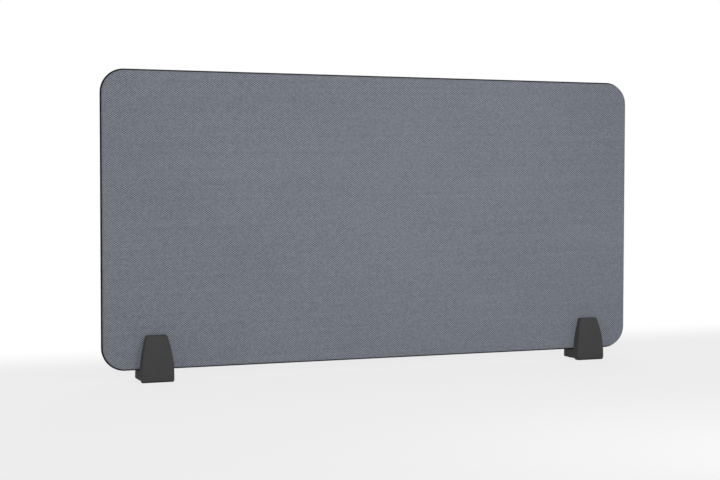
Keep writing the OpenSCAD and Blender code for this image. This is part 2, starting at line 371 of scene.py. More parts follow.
@dataclass(frozen=True)
class WovenCloth(Finish):
    """A basket weave of blue-grey yarn: blocks of three warp and two weft threads.

    Its scales count features a block, across and along. Its tone is 0.5 where the colour
    is the plain one.
    """

    warp_pitch: float = 3.05 * MM
    weft_pitch: float = 2.08 * MM
    off_grain: float = math.radians(1.1)
    warp_threads: int = 3
    weft_threads: int = 2
    crossing: float = 0.12
    thread_dip: float = 0.45
    float_bulge: float = 0.6
    contrast: float = 0.47
    # rise and fall weigh the two diagonals; rise's excess over fall is painted shading of light
    # falling across the threads from one side
    rise: float = 0.5
    fall: float = 0.26
    yarn_tone: float = 0.42
    fibre_tone: float = 0.4
    streak_tone: float = 0.25
    cloud_tone: float = 0.22
    # darkens the colour where the threads lie low: painted shade in the weave's hollows
    hollow_shade_tone: float = 0.25
    warp_fibres: Pair = (14.0, 1.5)
    weft_fibres: Pair = (1.2, 12.0)
    streak_scale: Pair = (0.004, 0.35)
    cloud_scale: float = 0.012
    fibre_height: float = 0.25
    depth: float = 0.35 * MM
    relief: float = 0.7
    sheen: float = 0.12
    sheen_roughness: float = 0.45
    sheen_tint: Colour = (0.75, 0.8, 0.9)
    specular: float = 0.2
    layer: str = "flat_cloth"

    def fibres(self, graph: Graph, across: Signal, along: Signal, scale: Pair) -> Signal:
        """The fibres of the threads of one direction, from 0 to 1."""
        place = graph.vector(across * scale[0], along * scale[1])
        return graph.noise(place, 1.0, detail=3.0, rough=0.6)

    def dress(self, graph: Graph) -> dict[str, Any]:
        """Weaves the colour and the relief.

        With a and b counting blocks across and along, sin(pi a) sin(pi b) is above 0 on
        the blocks where the warp lies on top and below 0 where the weft does. Its two
        halves, cos(pi (a - b)) and cos(pi (a + b)), are the two diagonals that show from
        afar. The first one is made stronger than the second, and that excess is painted
        shading of light that falls across the threads' relief from one side.

        Args:
            graph: the material's node graph.

        Returns:
            The shader's inputs by name.
        """
        u, v, _ = graph.parts(graph.cloth_place(self.layer))
        cosine, sine = math.cos(self.off_grain), math.sin(self.off_grain)
        across = (u * cosine + v * sine) / self.warp_pitch
        along = (v * cosine - u * sine) / self.weft_pitch
        warp_wave = (across * math.pi).sine()
        weft_wave = (along * math.pi).sine()
        warp_up = (warp_wave * weft_wave).step_up(-self.crossing, self.crossing)
        rising = ((across - along) * math.pi).cosine()
        falling = ((across + along) * math.pi).cosine()

        warp_thread = abs((across * (math.pi * self.warp_threads)).sine())
        weft_thread = abs((along * (math.pi * self.weft_threads)).sine())
        dip, bulge = self.thread_dip, self.float_bulge
        warp_float = abs(weft_wave) ** bulge * ((1.0 - dip) + dip * warp_thread)
        weft_float = abs(warp_wave) ** bulge * ((1.0 - dip) + dip * weft_thread)
        height = weft_float + warp_up * (warp_float - weft_float)

        yarn = graph.add(
            "ShaderNodeTexWhiteNoise",
            {"noise_dimensions": "2D"},
            {"Vector": graph.vector(across.floor(), along.floor())},
        )
        yarn_tint = Signal(graph, yarn.outputs["Value"]) - 0.5
        warp_fibre = self.fibres(graph, across, along, self.warp_fibres)
        weft_fibre = self.fibres(graph, across, along, self.weft_fibres)
        fibre = weft_fibre + warp_up * (warp_fibre - weft_fibre) - 0.5
        streak_place = graph.vector(across * self.streak_scale[0], along * self.streak_scale[1])
        streaks = graph.noise(streak_place, 1.0) - 0.5
        cloud_place = graph.vector(across, along)
        clouds = graph.noise(cloud_place, self.cloud_scale, detail=3.0, rough=0.55) - 0.5

        tone = (
            0.5
            # the rising diagonal outweighs the falling one: partly the weave's pattern, partly
            # painted shading of light across the threads
            + self.rise * rising
            - self.fall * falling
            + self.yarn_tone * yarn_tint
            + self.fibre_tone * fibre
            + self.streak_tone * streaks
            + self.cloud_tone * clouds
            # painted shade: darker where the threads lie low, in the weave's hollows
            + self.hollow_shade_tone * (height - 0.5)
        )
        dark, light = self.shade(1.0 - self.contrast), self.shade(1.0 + self.contrast)
        return {
            "Base Color": graph.blend(tone, dark, light),
            "Normal": graph.bump(height + self.fibre_height * fibre, self.depth, self.relief),
            "Sheen Weight": self.sheen,
            "Sheen Roughness": self.sheen_roughness,
            "Sheen Tint": self.sheen_tint,
            "Specular IOR Level": self.specular,
        }


@dataclass(frozen=True)
class MouldedPlastic(Finish):
    """Black moulded plastic with the fine sparked texture of its mould."""

    grain: float = 0.35 * MM
    flow_scale: float = 28.0
    speck_scale: float = 420.0
    speck_steps: Pair = (0.62, 0.75)
    lighter: float = 1.5
    lift: float = 0.002
    flow_tone: float = 0.6
    grain_tone: float = 0.3
    grain_rough: float = 0.16
    flow_rough: float = 0.06
    speck_rough: float = 0.04
    depth: float = 0.03 * MM
    relief: float = 0.6
    specular: float = 0.2

    def dress(self, graph: Graph) -> dict[str, Any]:
        """Adds the mould's grain, faint flow marks and handling shine.

        Args:
            graph: the material's node graph.

        Returns:
            The shader's inputs by name.
        """
        place = graph.object_place()
        grain = graph.noise(place, 1.0 / self.grain, detail=3.0, rough=0.65)
        flow = graph.noise(place, self.flow_scale, detail=3.0, rough=0.55)
        specks = graph.noise(place, self.speck_scale).step_up(*self.speck_steps)
        light = self.shade(self.lighter, self.lift)
        tone = self.flow_tone * flow + self.grain_tone * grain
        rough = self.roughness + self.grain_rough * (grain - 0.5) + self.flow_rough * (flow - 0.5)
        return {
            "Base Color": graph.blend(tone, self.colour, light),
            "Roughness": rough - self.speck_rough * specks,
            "Normal": graph.bump(grain, self.depth, self.relief),
            "Specular IOR Level": self.specular,
        }


@dataclass(frozen=True)
class BeadPlastic(Finish):
    """The extruded edge bead: black, satin, with faint lines from its die."""

    line_scale: float = 3500.0
    scuff_scale: float = 90.0
    scuff_steps: Pair = (0.5, 0.8)
    lighter: float = 2.2
    line_tone: float = 0.35
    scuff_tone: float = 0.4
    line_rough: float = 0.15
    scuff_rough: float = 0.2
    depth: float = 0.02 * MM
    relief: float = 0.5
    specular: float = 0.15

    def dress(self, graph: Graph) -> dict[str, Any]:
        """Adds the die lines, which run with the bead, and light scuffs.

        Args:
            graph: the material's node graph.

        Returns:
            The shader's inputs by name.
        """
        place = graph.object_place()
        _, y, _ = graph.parts(place)
        lines = graph.noise(graph.vector(y * self.line_scale), 1.0, rough=0.6)
        scuffs = graph.noise(place, self.scuff_scale, detail=4.0, rough=0.7)
        scuffs = scuffs.step_up(*self.scuff_steps)
        tone = self.line_tone * lines + self.scuff_tone * scuffs
        rough = self.roughness + self.line_rough * (lines - 0.5) + self.scuff_rough * scuffs
        return {
            "Base Color": graph.blend(tone, self.colour, self.shade(self.lighter)),
            "Roughness": rough,
            "Normal": graph.bump(lines, self.depth, self.relief),
            "Specular IOR Level": self.specular,
        }


@dataclass(frozen=True)
class SoftRubber(Finish):
    """Black rubber: matt, a little dusty, with a fine pitted skin."""

    pit: float = 0.5 * MM
    dust_scale: float = 60.0
    dust_steps: Pair = (0.45, 0.8)
    dusty: float = 0.8
    lift: float = 0.02
    dust_tone: float = 0.5
    pit_tone: float = 0.2
    pit_rough: float = 0.12
    depth: float = 0.06 * MM
    relief: float = 0.6
    specular: float = 0.35

    def dress(self, graph: Graph) -> dict[str, Any]:
        """Adds the pits and the dust that rubber holds.

        Args:
            graph: the material's node graph.

        Returns:
            The shader's inputs by name.
        """
        place = graph.object_place()
        pits = graph.noise(place, 1.0 / self.pit, detail=4.0, rough=0.7)
        dust = graph.noise(place, self.dust_scale, detail=4.0, rough=0.6)
        tone = self.dust_tone * dust.step_up(*self.dust_steps) + self.pit_tone * pits
        return {
            "Base Color": graph.blend(tone, self.colour, self.shade(self.dusty, self.lift)),
            "Roughness": self.roughness + self.pit_rough * (pits - 0.5),
            "Normal": graph.bump(pits, self.depth, self.relief),
            "Specular IOR Level": self.specular,
        }


@dataclass(frozen=True)
class PressedFelt(Finish):
    """Pressed polyester felt, flecked with lighter and darker fibres."""

    tangle_scale: float = 900.0
    fleck_scale: float = 240.0
    fleck_steps: Pair = (0.55, 0.7)
    contrast: float = 0.3
    tangle_tone: float = 0.7
    fleck_tone: float = 0.3
    depth: float = 0.4 * MM
    relief: float = 0.8
    sheen: float = 0.3

    def dress(self, graph: Graph) -> dict[str, Any]:
        """Adds tangled fibres at two scales.

        Args:
            graph: the material's node graph.

        Returns:
            The shader's inputs by name.
        """
        place = graph.object_place()
        tangle = graph.noise(place, self.tangle_scale, detail=5.0, rough=0.75)
        flecks = graph.noise(place, self.fleck_scale, detail=3.0, rough=0.6)
        tone = self.tangle_tone * tangle + self.fleck_tone * flecks.step_up(*self.fleck_steps)
        dark, light = self.shade(1.0 - self.contrast), self.shade(1.0 + self.contrast)
        return {
            "Base Color": graph.blend(tone, dark, light),
            "Normal": graph.bump(tangle, self.depth, self.relief),
            "Sheen Weight": self.sheen,
        }


@dataclass(frozen=True)
class Hardboard(Finish):
    """Pressed wood-fibre board with short brown fibres."""

    fibre_along: float = 300.0
    fibre_across: float = 900.0
    cloud_scale: float = 8.0
    darker: float = 0.6
    lighter: float = 1.25
    fibre_tone: float = 0.6
    cloud_tone: float = 0.4
    fibre_rough: float = 0.2
    depth: float = 0.1 * MM
    relief: float = 0.5

    def dress(self, graph: Graph) -> dict[str, Any]:
        """Adds the fibres and the board's slow change of tone.

        Args:
            graph: the material's node graph.

        Returns:
            The shader's inputs by name.
        """
        place = graph.object_place()
        x, y, z = graph.parts(place)
        along, across = self.fibre_along, self.fibre_across
        fibre_place = graph.vector(x * along, y * across, z * across)
        fibres = graph.noise(fibre_place, 1.0, detail=5.0, rough=0.7)
        clouds = graph.noise(place, self.cloud_scale, detail=3.0)
        tone = self.fibre_tone * fibres + self.cloud_tone * clouds
        return {
            "Base Color": graph.blend(tone, self.shade(self.darker), self.shade(self.lighter)),
            "Roughness": self.roughness + self.fibre_rough * (fibres - 0.5),
            "Normal": graph.bump(fibres, self.depth, self.relief),
        }


@dataclass(frozen=True)
class TurnedMetal(Finish):
    """Turned metal: fine tool marks that run round its axis, under a dull film."""

    mark_scale: float = 6000.0
    drift_scale: float = 40.0
    film_scale: float = 350.0
    darker: float = 0.55
    film_rough: float = 0.2
    mark_rough: float = 0.12
    depth: float = 0.01 * MM
    relief: float = 0.5

    def dress(self, graph: Graph) -> dict[str, Any]:
        """Adds tool marks, which change fast along the axis and slowly upwards, and the film.

        Args:
            graph: the material's node graph.

        Returns:
            The shader's inputs by name.
        """
        place = graph.object_place()
        _, y, z = graph.parts(place)
        mark_place = graph.vector(y * self.mark_scale, 0.0, z * self.drift_scale)
        marks = graph.noise(mark_place, 1.0, rough=0.6)
        film = graph.noise(place, self.film_scale, detail=4.0, rough=0.65)
        rough = self.roughness + self.film_rough * (film - 0.5) + self.mark_rough * (marks - 0.5)
        return {
            "Base Color": graph.blend(film, self.shade(self.darker), self.colour),
            "Metallic": 1.0,
            "Roughness": rough,
            "Normal": graph.bump(marks, self.depth, self.relief),
        }


CLOTH = WovenCloth("woven_cover", (0.171, 0.1825, 0.2145), 0.85)
FELT = PressedFelt("acoustic_felt", (0.3, 0.3, 0.31), 0.95)
BOARD = Hardboard("board", (0.5, 0.36, 0.22), 0.75)
BEAD = BeadPlastic("edge_trim", (0.006, 0.006, 0.0065), 0.6)
FOOT_PLASTIC = MouldedPlastic("foot_plastic", (0.042, 0.042, 0.042), 0.9)
PLATE_PLASTIC = MouldedPlastic("plate_plastic", (0.03, 0.03, 0.03), 0.6, grain=0.5 * MM)
RUBBER = SoftRubber("rubber", (0.012, 0.012, 0.012), 0.8)
LINER = SoftRubber("liner", (0.018, 0.018, 0.019), 0.92, pit=0.25 * MM)
SCREW_STEEL = TurnedMetal("screw_steel", (0.1, 0.1, 0.105), 0.38)
BRASS = TurnedMetal("brass", (0.72, 0.52, 0.24), 0.3)


# Meshes


@dataclass
class Surface:
    """A mesh under construction: its points, its faces and its flat cloth coordinates."""

    points: np.ndarray
    faces: list[list[int]]
    flat: np.ndarray | None = None

    def facing_back(self) -> "Surface":
        """The same surface mirrored front to back, with its faces turned the right way."""
        mirrored = self.points * np.array([1.0, -1.0, 1.0])
        return Surface(mirrored, [face[::-1] for face in self.faces], self.flat)

    def build(self, name: str, smooth_below: float = 35.0) -> bpy.types.Object:
        """Makes the Blender object.

        Args:
            name: the object's name.
            smooth_below: edges that turn by less than this many degrees are shaded smooth.

        Returns:
            The object, linked to the scene.
        """
        mesh = bpy.data.meshes.new(name)
        mesh.from_pydata(self.points.tolist(), [], self.faces)
        if self.flat is not None:
            layer = mesh.uv_layers.new(name=CLOTH.layer)
            corners = np.zeros(len(mesh.loops), dtype=np.int32)
            mesh.loops.foreach_get("vertex_index", corners)
            layer.data.foreach_set("uv", self.flat[corners].astype(np.float32).ravel())
        return link_smooth(mesh, name, smooth_below)


def link_smooth(mesh: bpy.types.Mesh, name: str, smooth_below: float) -> bpy.types.Object:
    """Links a mesh as an object, smooth but for its sharp edges.

    Args:
        mesh: the mesh.
        name: the object's name.
        smooth_below: the angle in degrees from which an edge stays sharp.

    Returns:
        The object.
    """
    mesh.validate()
    mesh.shade_smooth()
    mesh.set_sharp_from_angle(angle=math.radians(smooth_below))
    mesh.update()
    made = bpy.data.objects.new(name, mesh)
    bpy.context.scene.collection.objects.link(made)
    return made


def merged_copy(node: str, name: str, smooth_below: float = 32.0) -> bpy.types.Object:
    """Copies a CAD node's mesh, joins its loose triangles and shades it smooth.

    Points within JOIN_WITHIN of each other become one, and so do faces whose directions
    are within FLAT_WITHIN of each other.

    Args:
        node: the CAD node.
        name: the new piece's name.
        smooth_below: the angle in degrees from which an edge stays sharp.

    Returns:
        The new piece.
    """
    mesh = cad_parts[node].data.copy()
    mesh.materials.clear()
    work = bmesh.new()
    work.from_mesh(mesh)
    bmesh.ops.remove_doubles(work, verts=work.verts, dist=JOIN_WITHIN)
    bmesh.ops.dissolve_limit(work, angle_limit=FLAT_WITHIN, verts=work.verts, edges=work.edges)
    work.to_mesh(mesh)
    work.free()
    made = link_smooth(mesh, name, smooth_below)
    weighted = made.modifiers.new("even_normals", "WEIGHTED_NORMAL")
    weighted.keep_sharp = True
    return made


def fit_piece(piece: bpy.types.Object, finish: Finish, body: str, node: str) -> None:
    """Gives a piece its finish and body, and says which CAD node it stands for.

    Args:
        piece: the finished piece.
        finish: its finish.
        body: the body that it moves with.
        node: the CAD node that it replaces.
    """
    piece.data.materials.append(finish.material())
    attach(piece, body)
    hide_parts(node)
    LOG.info("%s: %d faces for %s", piece.name, len(piece.data.polygons), node)


def finish_node(node: str, finish: Finish) -> None:
    """Gives a CAD node that stays its procedural finish.

    Args:
        node: the CAD node.
        finish: its finish.
    """
    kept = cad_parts[node]
    kept.data.materials.clear()
    kept.data.materials.append(finish.material())
    LOG.info("%s: the CAD node keeps its own mesh", node)


def ring_quads(rings: int, count: int, closed: bool = False) -> np.ndarray:
    """Finds the quads between rings of points.

    Point m of ring k has the number k count + m. A quad runs from it to the same place on
    the next ring, one place round, and back.

    Args:
        rings: how many rings there are.
        count: how many points each one has.
        closed: whether the last ring joins the first.

    Returns:
        The points' numbers, one row a quad.
    """
    last = rings if closed else rings - 1
    ring, place = np.meshgrid(np.arange(last), np.arange(count), indexing="ij")
    here, after, beside = ring * count, (ring + 1) % rings * count, (place + 1) % count
    quads = [here + place, after + place, after + beside, here + beside]
    return np.stack(quads, axis=-1).reshape(-1, 4)


def turned(radii: np.ndarray, depths: np.ndarray, centre: Pair, closed: bool = False) -> Surface:
    """Skins rings that stand round an axis along Y.

    Point m of ring k is at the axis plus radii[k, m] (cos t, sin t) in X and Z, with
    t = 2 pi m / n, and at depths[k] in Y. The rings run so that depth first grows on the
    outside. An open stack is closed by a fan at each end, and a closed one joins its last
    ring to its first.

    Args:
        radii: the radius of each point, one row a ring.
        depths: the depth of each ring.
        centre: the axis's X and Z.
        closed: whether the last ring joins the first.

    Returns:
        The surface.
    """
    rings, count = radii.shape
    around = np.arange(count)
    angle = TURN * around / count
    x = centre[0] + radii * np.cos(angle)
    z = centre[1] + radii * np.sin(angle)
    y = np.broadcast_to(depths[:, None], radii.shape)
    points = np.stack([x, y, z], axis=-1).reshape(-1, 3)
    faces = ring_quads(rings, count, closed).tolist()
    if not closed:
        beside, base = (around + 1) % count, (rings - 1) * count
        hubs = np.array([[centre[0], depths[0], centre[1]], [centre[0], depths[-1], centre[1]]])
        first_hub, last_hub = np.full(count, len(points)), np.full(count, len(points) + 1)
        faces += np.stack([first_hub, around, beside], axis=-1).tolist()
        faces += np.stack([last_hub, base + beside, base + around], axis=-1).tolist()
        points = np.concatenate([points, hubs])
    return Surface(points, faces)


# Panel


@dataclass(frozen=True)
class RoundedOutline:
    """A rectangle with round corners in X and Z, drawn as rows that end on its outline."""

    length: float
    height: float
    radius: float
    middle: float
    columns: int = 120
    rows: int = 48
    arc_rows: int = 14

    def row_ends(self) -> tuple[np.ndarray, np.ndarray]:
        """Each row's right end as a skeleton point and a direction outwards.

        A row in a corner's arc, at angle t, ends at the corner's centre plus the radius
        times (sin t, -cos t) below and (sin t, cos t) above; the others end straight out.

        Returns:
            The skeleton points and the directions, one row each.
        """
        t = 0.5 * math.pi * np.arange(self.arc_rows + 1) / self.arc_rows
        half_l, half_h = self.length / 2 - self.radius, self.height / 2 - self.radius
        levels = np.linspace(-half_h, half_h, self.rows + 1)[1:-1]
        z = np.concatenate([np.full(t.size, -half_h), levels, np.full(t.size, half_h)])
        out_x = np.concatenate([np.sin(t), np.ones(levels.size), np.sin(t[::-1])])
        out_z = np.concatenate([-np.cos(t), np.zeros(levels.size), np.cos(t[::-1])])
        skeleton = np.stack([np.full(z.size, half_l), z], axis=-1)
        return skeleton, np.stack([out_x, out_z], axis=-1)

    def loop(self) -> tuple[np.ndarray, np.ndarray, np.ndarray]:
        """The outline as one loop, counter-clockwise from the front, from its lower left.

        Returns:
            The skeleton points, the directions outwards, and each point's number in grid().
        """
        skeleton, out = self.row_ends()
        count, wide = len(skeleton), self.columns + 1
        flip = np.array([-1.0, 1.0])
        across = np.linspace(-1.0, 1.0, wide)[1:-1]
        low = np.stack([skeleton[0, 0] * across, np.full(across.size, skeleton[0, 1])], axis=-1)
        high = np.stack([-low[:, 0], np.full(across.size, skeleton[-1, 1])], axis=-1)
        down = np.tile([0.0, -1.0], (across.size, 1))
        places = [skeleton[:1] * flip, low, skeleton, high, (skeleton * flip)[:0:-1]]
        ways = [out[:1] * flip, down, out, -down, (out * flip)[:0:-1]]
        numbers = [
            np.arange(self.columns),
            np.arange(count) * wide + self.columns,
            (count - 1) * wide + np.arange(self.columns)[:0:-1],
            (np.arange(count) * wide)[:0:-1],
        ]
        return np.concatenate(places), np.concatenate(ways), np.concatenate(numbers)

    def ring(self, inset: float, depth: float) -> np.ndarray:
        """The outline drawn in by an inset, as points in space.

        Each one is its skeleton point plus the direction outwards times the radius less
        the inset.

        Args:
            inset: how far the line is drawn in.
            depth: its place in Y.

        Returns:
            The points, one row each.
        """
        skeleton, out, _ = self.loop()
        flat = skeleton + (self.radius - inset) * out
        y = np.full(len(flat), depth)
        return np.stack([flat[:, 0], y, flat[:, 1] + self.middle], axis=-1)

    def grid(self, inset: float, depth: float) -> np.ndarray:
        """The area inside the outline at an inset, as rows of points in space.

        A row runs in even steps from the mirror image of its right end to its right end,
        which is where ring() has it.

        Args:
            inset: how far the outline is drawn in.
            depth: the area's place in Y.

        Returns:
            The points, row after row.
        """
        skeleton, out = self.row_ends()
        right = skeleton + (self.radius - inset) * out
        x = right[:, :1] * np.linspace(-1.0, 1.0, self.columns + 1)
        z = np.broadcast_to(right[:, 1:], x.shape) + self.middle
        return np.stack([x, np.full(x.shape, depth), z], axis=-1).reshape(-1, 3)

    def grid_faces(self) -> np.ndarray:
        """Finds the quads of grid(), facing the front.

        Returns:
            The points' numbers, one row a quad.
        """
        rows, wide = len(self.row_ends()[0]), self.columns + 1
        row, column = np.meshgrid(np.arange(rows - 1), np.arange(wide - 1), indexing="ij")
        start = row * wide + column
        return np.stack([start, start + 1, start + wide + 1, start + wide], axis=-1).reshape(-1, 4)

    def shell(self, path: np.ndarray, closed: bool) -> Surface:
        """A face with a rim carried round it.

        The first point of the path, an inset and a depth, gives the front grid. The rim
        passes through the others. A closed shell ends in a second grid, facing back. The
        flat cloth coordinates are X and Z on the face, and beyond its edge they go on
        outwards by the length of the path.

        Args:
            path: pairs of an inset from the outline and a depth in Y.
            closed: whether the last ring is filled.

        Returns:
            The surface, facing the front.
        """
        _, out, numbers = self.loop()
        face = self.grid(*path[0])
        count, points, flats = len(numbers), [face], [face[:, ::2]]
        steps = np.hypot(*np.diff(path, axis=0).T)
        edge = face[numbers][:, ::2]
        for (inset, depth), reach in zip(path[1:], np.cumsum(steps)):
            points.append(self.ring(inset, depth))
            flats.append(edge + reach * out)
        rings = [numbers] + [
            len(face) + k * count + np.arange(count) for k in range(len(path) - 1)
        ]
        quads = [self.grid_faces()]
        if closed:
            back = self.grid(*path[-1])
            shift = sum(len(part) for part in points)
            rings[-1] = shift + numbers
            points.append(back)
            flats.append(back[:, ::2])
            quads.append(self.grid_faces()[:, ::-1] + shift)
        for near, far in zip(rings, rings[1:]):
            quads.append(np.stack([np.roll(near, -1), near, far, np.roll(far, -1)], axis=-1))
        return compact(np.concatenate(points), np.concatenate(quads), np.concatenate(flats))


def compact(points: np.ndarray, quads: np.ndarray, flat: np.ndarray) -> Surface:
    """Drops the points that no face uses.

    Args:
        points: the points.
        quads: the faces.
        flat: the flat cloth coordinates of the points.

    Returns:
        The surface with its points renumbered.
    """
    used, where = np.unique(quads, return_inverse=True)
    return Surface(points[used], where.reshape(quads.shape).tolist(), flat[used])


def arc(centre: Pair, radius: float, start: float, stop: float, steps: int) -> np.ndarray:
    """Points on an arc: the centre plus the radius times (cos t, sin t), t in degrees."""
    t = np.radians(np.linspace(start, stop, steps + 1))
    return np.stack([centre[0] + radius * np.cos(t), centre[1] + radius * np.sin(t)], axis=-1)


@dataclass
class Panel:
    """The panel: board, felt pads, woven covers and the bead round its edge."""

    length: float
    height: float
    middle: float
    half_thickness: float
    board_half: float
    bead_proud: float
    bead_width: float
    corner: float = 45 * MM
    corner_steps: int = 32
    cloth: float = 0.8 * MM
    edge_round: float = 3 * MM
    hem: float = 14 * MM
    fold: float = 0.85 * MM
    bead_round: float = 1.2 * MM
    stem: float = 1.4 * MM
    stem_length: float = 9 * MM
    barb: float = 0.35 * MM
    barbs: tuple[Pair, ...] = ((0.3, 0.5), (0.65, 0.85))
    butt_gap: float = 0.6 * MM
    body: str = "panel"

    @classmethod
    def from_frame(cls) -> "Panel":
        """Takes the panel's size from its solids.

        Returns:
            The panel.
        """
        board_low, board_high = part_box("core_board")
        bead_low, bead_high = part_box("edge_trim")
        return cls(
            length=board_high.x - board_low.x,
            height=board_high.z - board_low.z,
            middle=(board_low.z + board_high.z) / 2,
            half_thickness=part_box("rear_cover")[1].y,
            board_half=board_high.y,
            bead_proud=bead_high.x - board_high.x,
            bead_width=bead_high.y - bead_low.y,
        )

    @property
    def outline(self) -> RoundedOutline:
        """The board's outline, which the covers share."""
        return RoundedOutline(self.length, self.height, self.corner, self.middle)

    def cover_path(self) -> np.ndarray:
        """Draws the cloth's outer line: over the pad's edge, down its side and in behind it.

        Returns:
            Pairs of an inset from the outline and a depth in Y.
        """
        front, back = -self.half_thickness, -self.board_half
        r, f = self.edge_round, self.fold
        over = arc((r, front + r), r, -90, -180, steps=8)
        behind = arc((f, back - f), f, 180, 90, steps=5)
        hem = np.array([[0.5 * self.hem, back], [self.hem, back]])
        return np.concatenate([over, behind, hem])

    def cover(self, face: Face) -> None:
        """Stretches a woven cover over one face, with its hem turned in behind the pad.

        The flat cloth is a rounded rectangle. It reaches beyond the board on every side by
        the path's length less the edge's radius. Its area is its width times its length
        less (4 - pi) times its corner's radius squared.

        Args:
            face: the face that it covers.
        """
        path = self.cover_path()
        surface = self.outline.shell(path, closed=False)
        if face is Face.REAR:
            surface = surface.facing_back()
        piece = surface.build(face.label + "_cloth", smooth_below=50.0)
        wall = piece.modifiers.new("cloth_thickness", "SOLIDIFY")
        wall.thickness = self.cloth
        wall.offset = -1.0
        wall.use_even_offset = True
        fit_piece(piece, CLOTH, self.body, face.label + "_cover")
        reach = float(np.hypot(*np.diff(path, axis=0).T).sum()) - self.edge_round
        width, length = self.length + 2 * reach, self.height + 2 * reach
        corners = (4 - math.pi) * (self.corner + reach) ** 2
        width * length - corners

    def pad(self, face: Face) -> None:
        """Makes the pressed felt pad, with the step behind that takes the hem.

        Args:
            face: the face that it lies under.
        """
        front, back = self.cloth - self.half_thickness, -self.board_half
        r, step_depth = self.edge_round - self.cloth, back - self.cloth
        over = arc((self.edge_round, front + r), r, -90, -180, steps=6)
        step = np.array([[self.cloth, step_depth], [self.hem, step_depth], [self.hem, back]])
        surface = self.outline.shell(np.concatenate([over, step]), closed=True)
        surface.flat = None
        if face is Face.REAR:
            surface = surface.facing_back()
        piece = surface.build(face.label + "_felt")
        fit_piece(piece, FELT, self.body, face.label + "_pad")

    def bead_section(self) -> np.ndarray:
        """Draws the bead's closed section, with its barbed stem.

        Returns:
            Pairs of a reach outwards from the board's edge and a place in Y.
        """
        half, r, half_stem = self.bead_width / 2, self.bead_round, self.stem / 2
        upper = arc((self.bead_proud - r, half - r), r, 90, 0, steps=6)
        stem = [[-self.stem_length, half_stem]]
        for start, stop in self.barbs[::-1]:
            stem.append([-self.stem_length * stop, half_stem])
            stem.append([-self.stem_length * start, half_stem + self.barb])
            stem.append([-self.stem_length * start, half_stem])
        stem += [[0.0, half_stem], [0.0, half]]
        top = np.concatenate([np.array(stem), upper])
        return np.concatenate([top, (top * np.array([1.0, -1.0]))[::-1]])

    def bead(self) -> None:
        """Carries the bead's section round the board, from one side of its joint to the other.

        The section stands at stops along the board's edge. A point of it is at the stop's
        skeleton point plus the direction outwards times the corner's radius and the
        point's reach.
        """
        section = self.bead_section()
        half_l, half_h = self.length / 2 - self.corner, self.height / 2 - self.corner
        t = 0.5 * math.pi * np.arange(self.corner_steps + 1) / self.corner_steps
        stops = [np.array([[self.butt_gap / 2, -half_h]])]
        ways = [np.array([[0.0, -1.0]])]
        for turn, corner in enumerate([(1, -1), (1, 1), (-1, 1), (-1, -1)]):
            angle = t + 0.5 * math.pi * (turn - 1)
            stops.append(np.tile([corner[0] * half_l, corner[1] * half_h], (t.size, 1)))
            ways.append(np.stack([np.cos(angle), np.sin(angle)], axis=-1))
        stops.append(np.array([[-self.butt_gap / 2, -half_h]]))
        ways.append(np.array([[0.0, -1.0]]))
        skeleton, out = np.concatenate(stops), np.concatenate(ways)
        reach = self.corner + section[:, 0]
        flat = skeleton[:, None] + reach[None, :, None] * out[:, None]
        y = np.broadcast_to(section[:, 1], flat.shape[:2])
        points = np.stack([flat[..., 0], y, flat[..., 1] + self.middle], axis=-1)
        rings, wide = len(skeleton), len(section)
        faces = ring_quads(rings, wide).tolist()
        faces.append(list(range(wide)))
        faces.append(list(range(rings * wide - 1, (rings - 1) * wide - 1, -1)))
        piece = Surface(points.reshape(-1, 3), faces).build("edge_bead", smooth_below=40.0)
        fit_piece(piece, BEAD, self.body, "edge_trim")

    def build(self) -> None:
        """Builds the panel's pieces."""
        finish_node("core_board", BOARD)
        for face in Face:
            self.pad(face)
            self.cover(face)
        self.bead()


# Feet


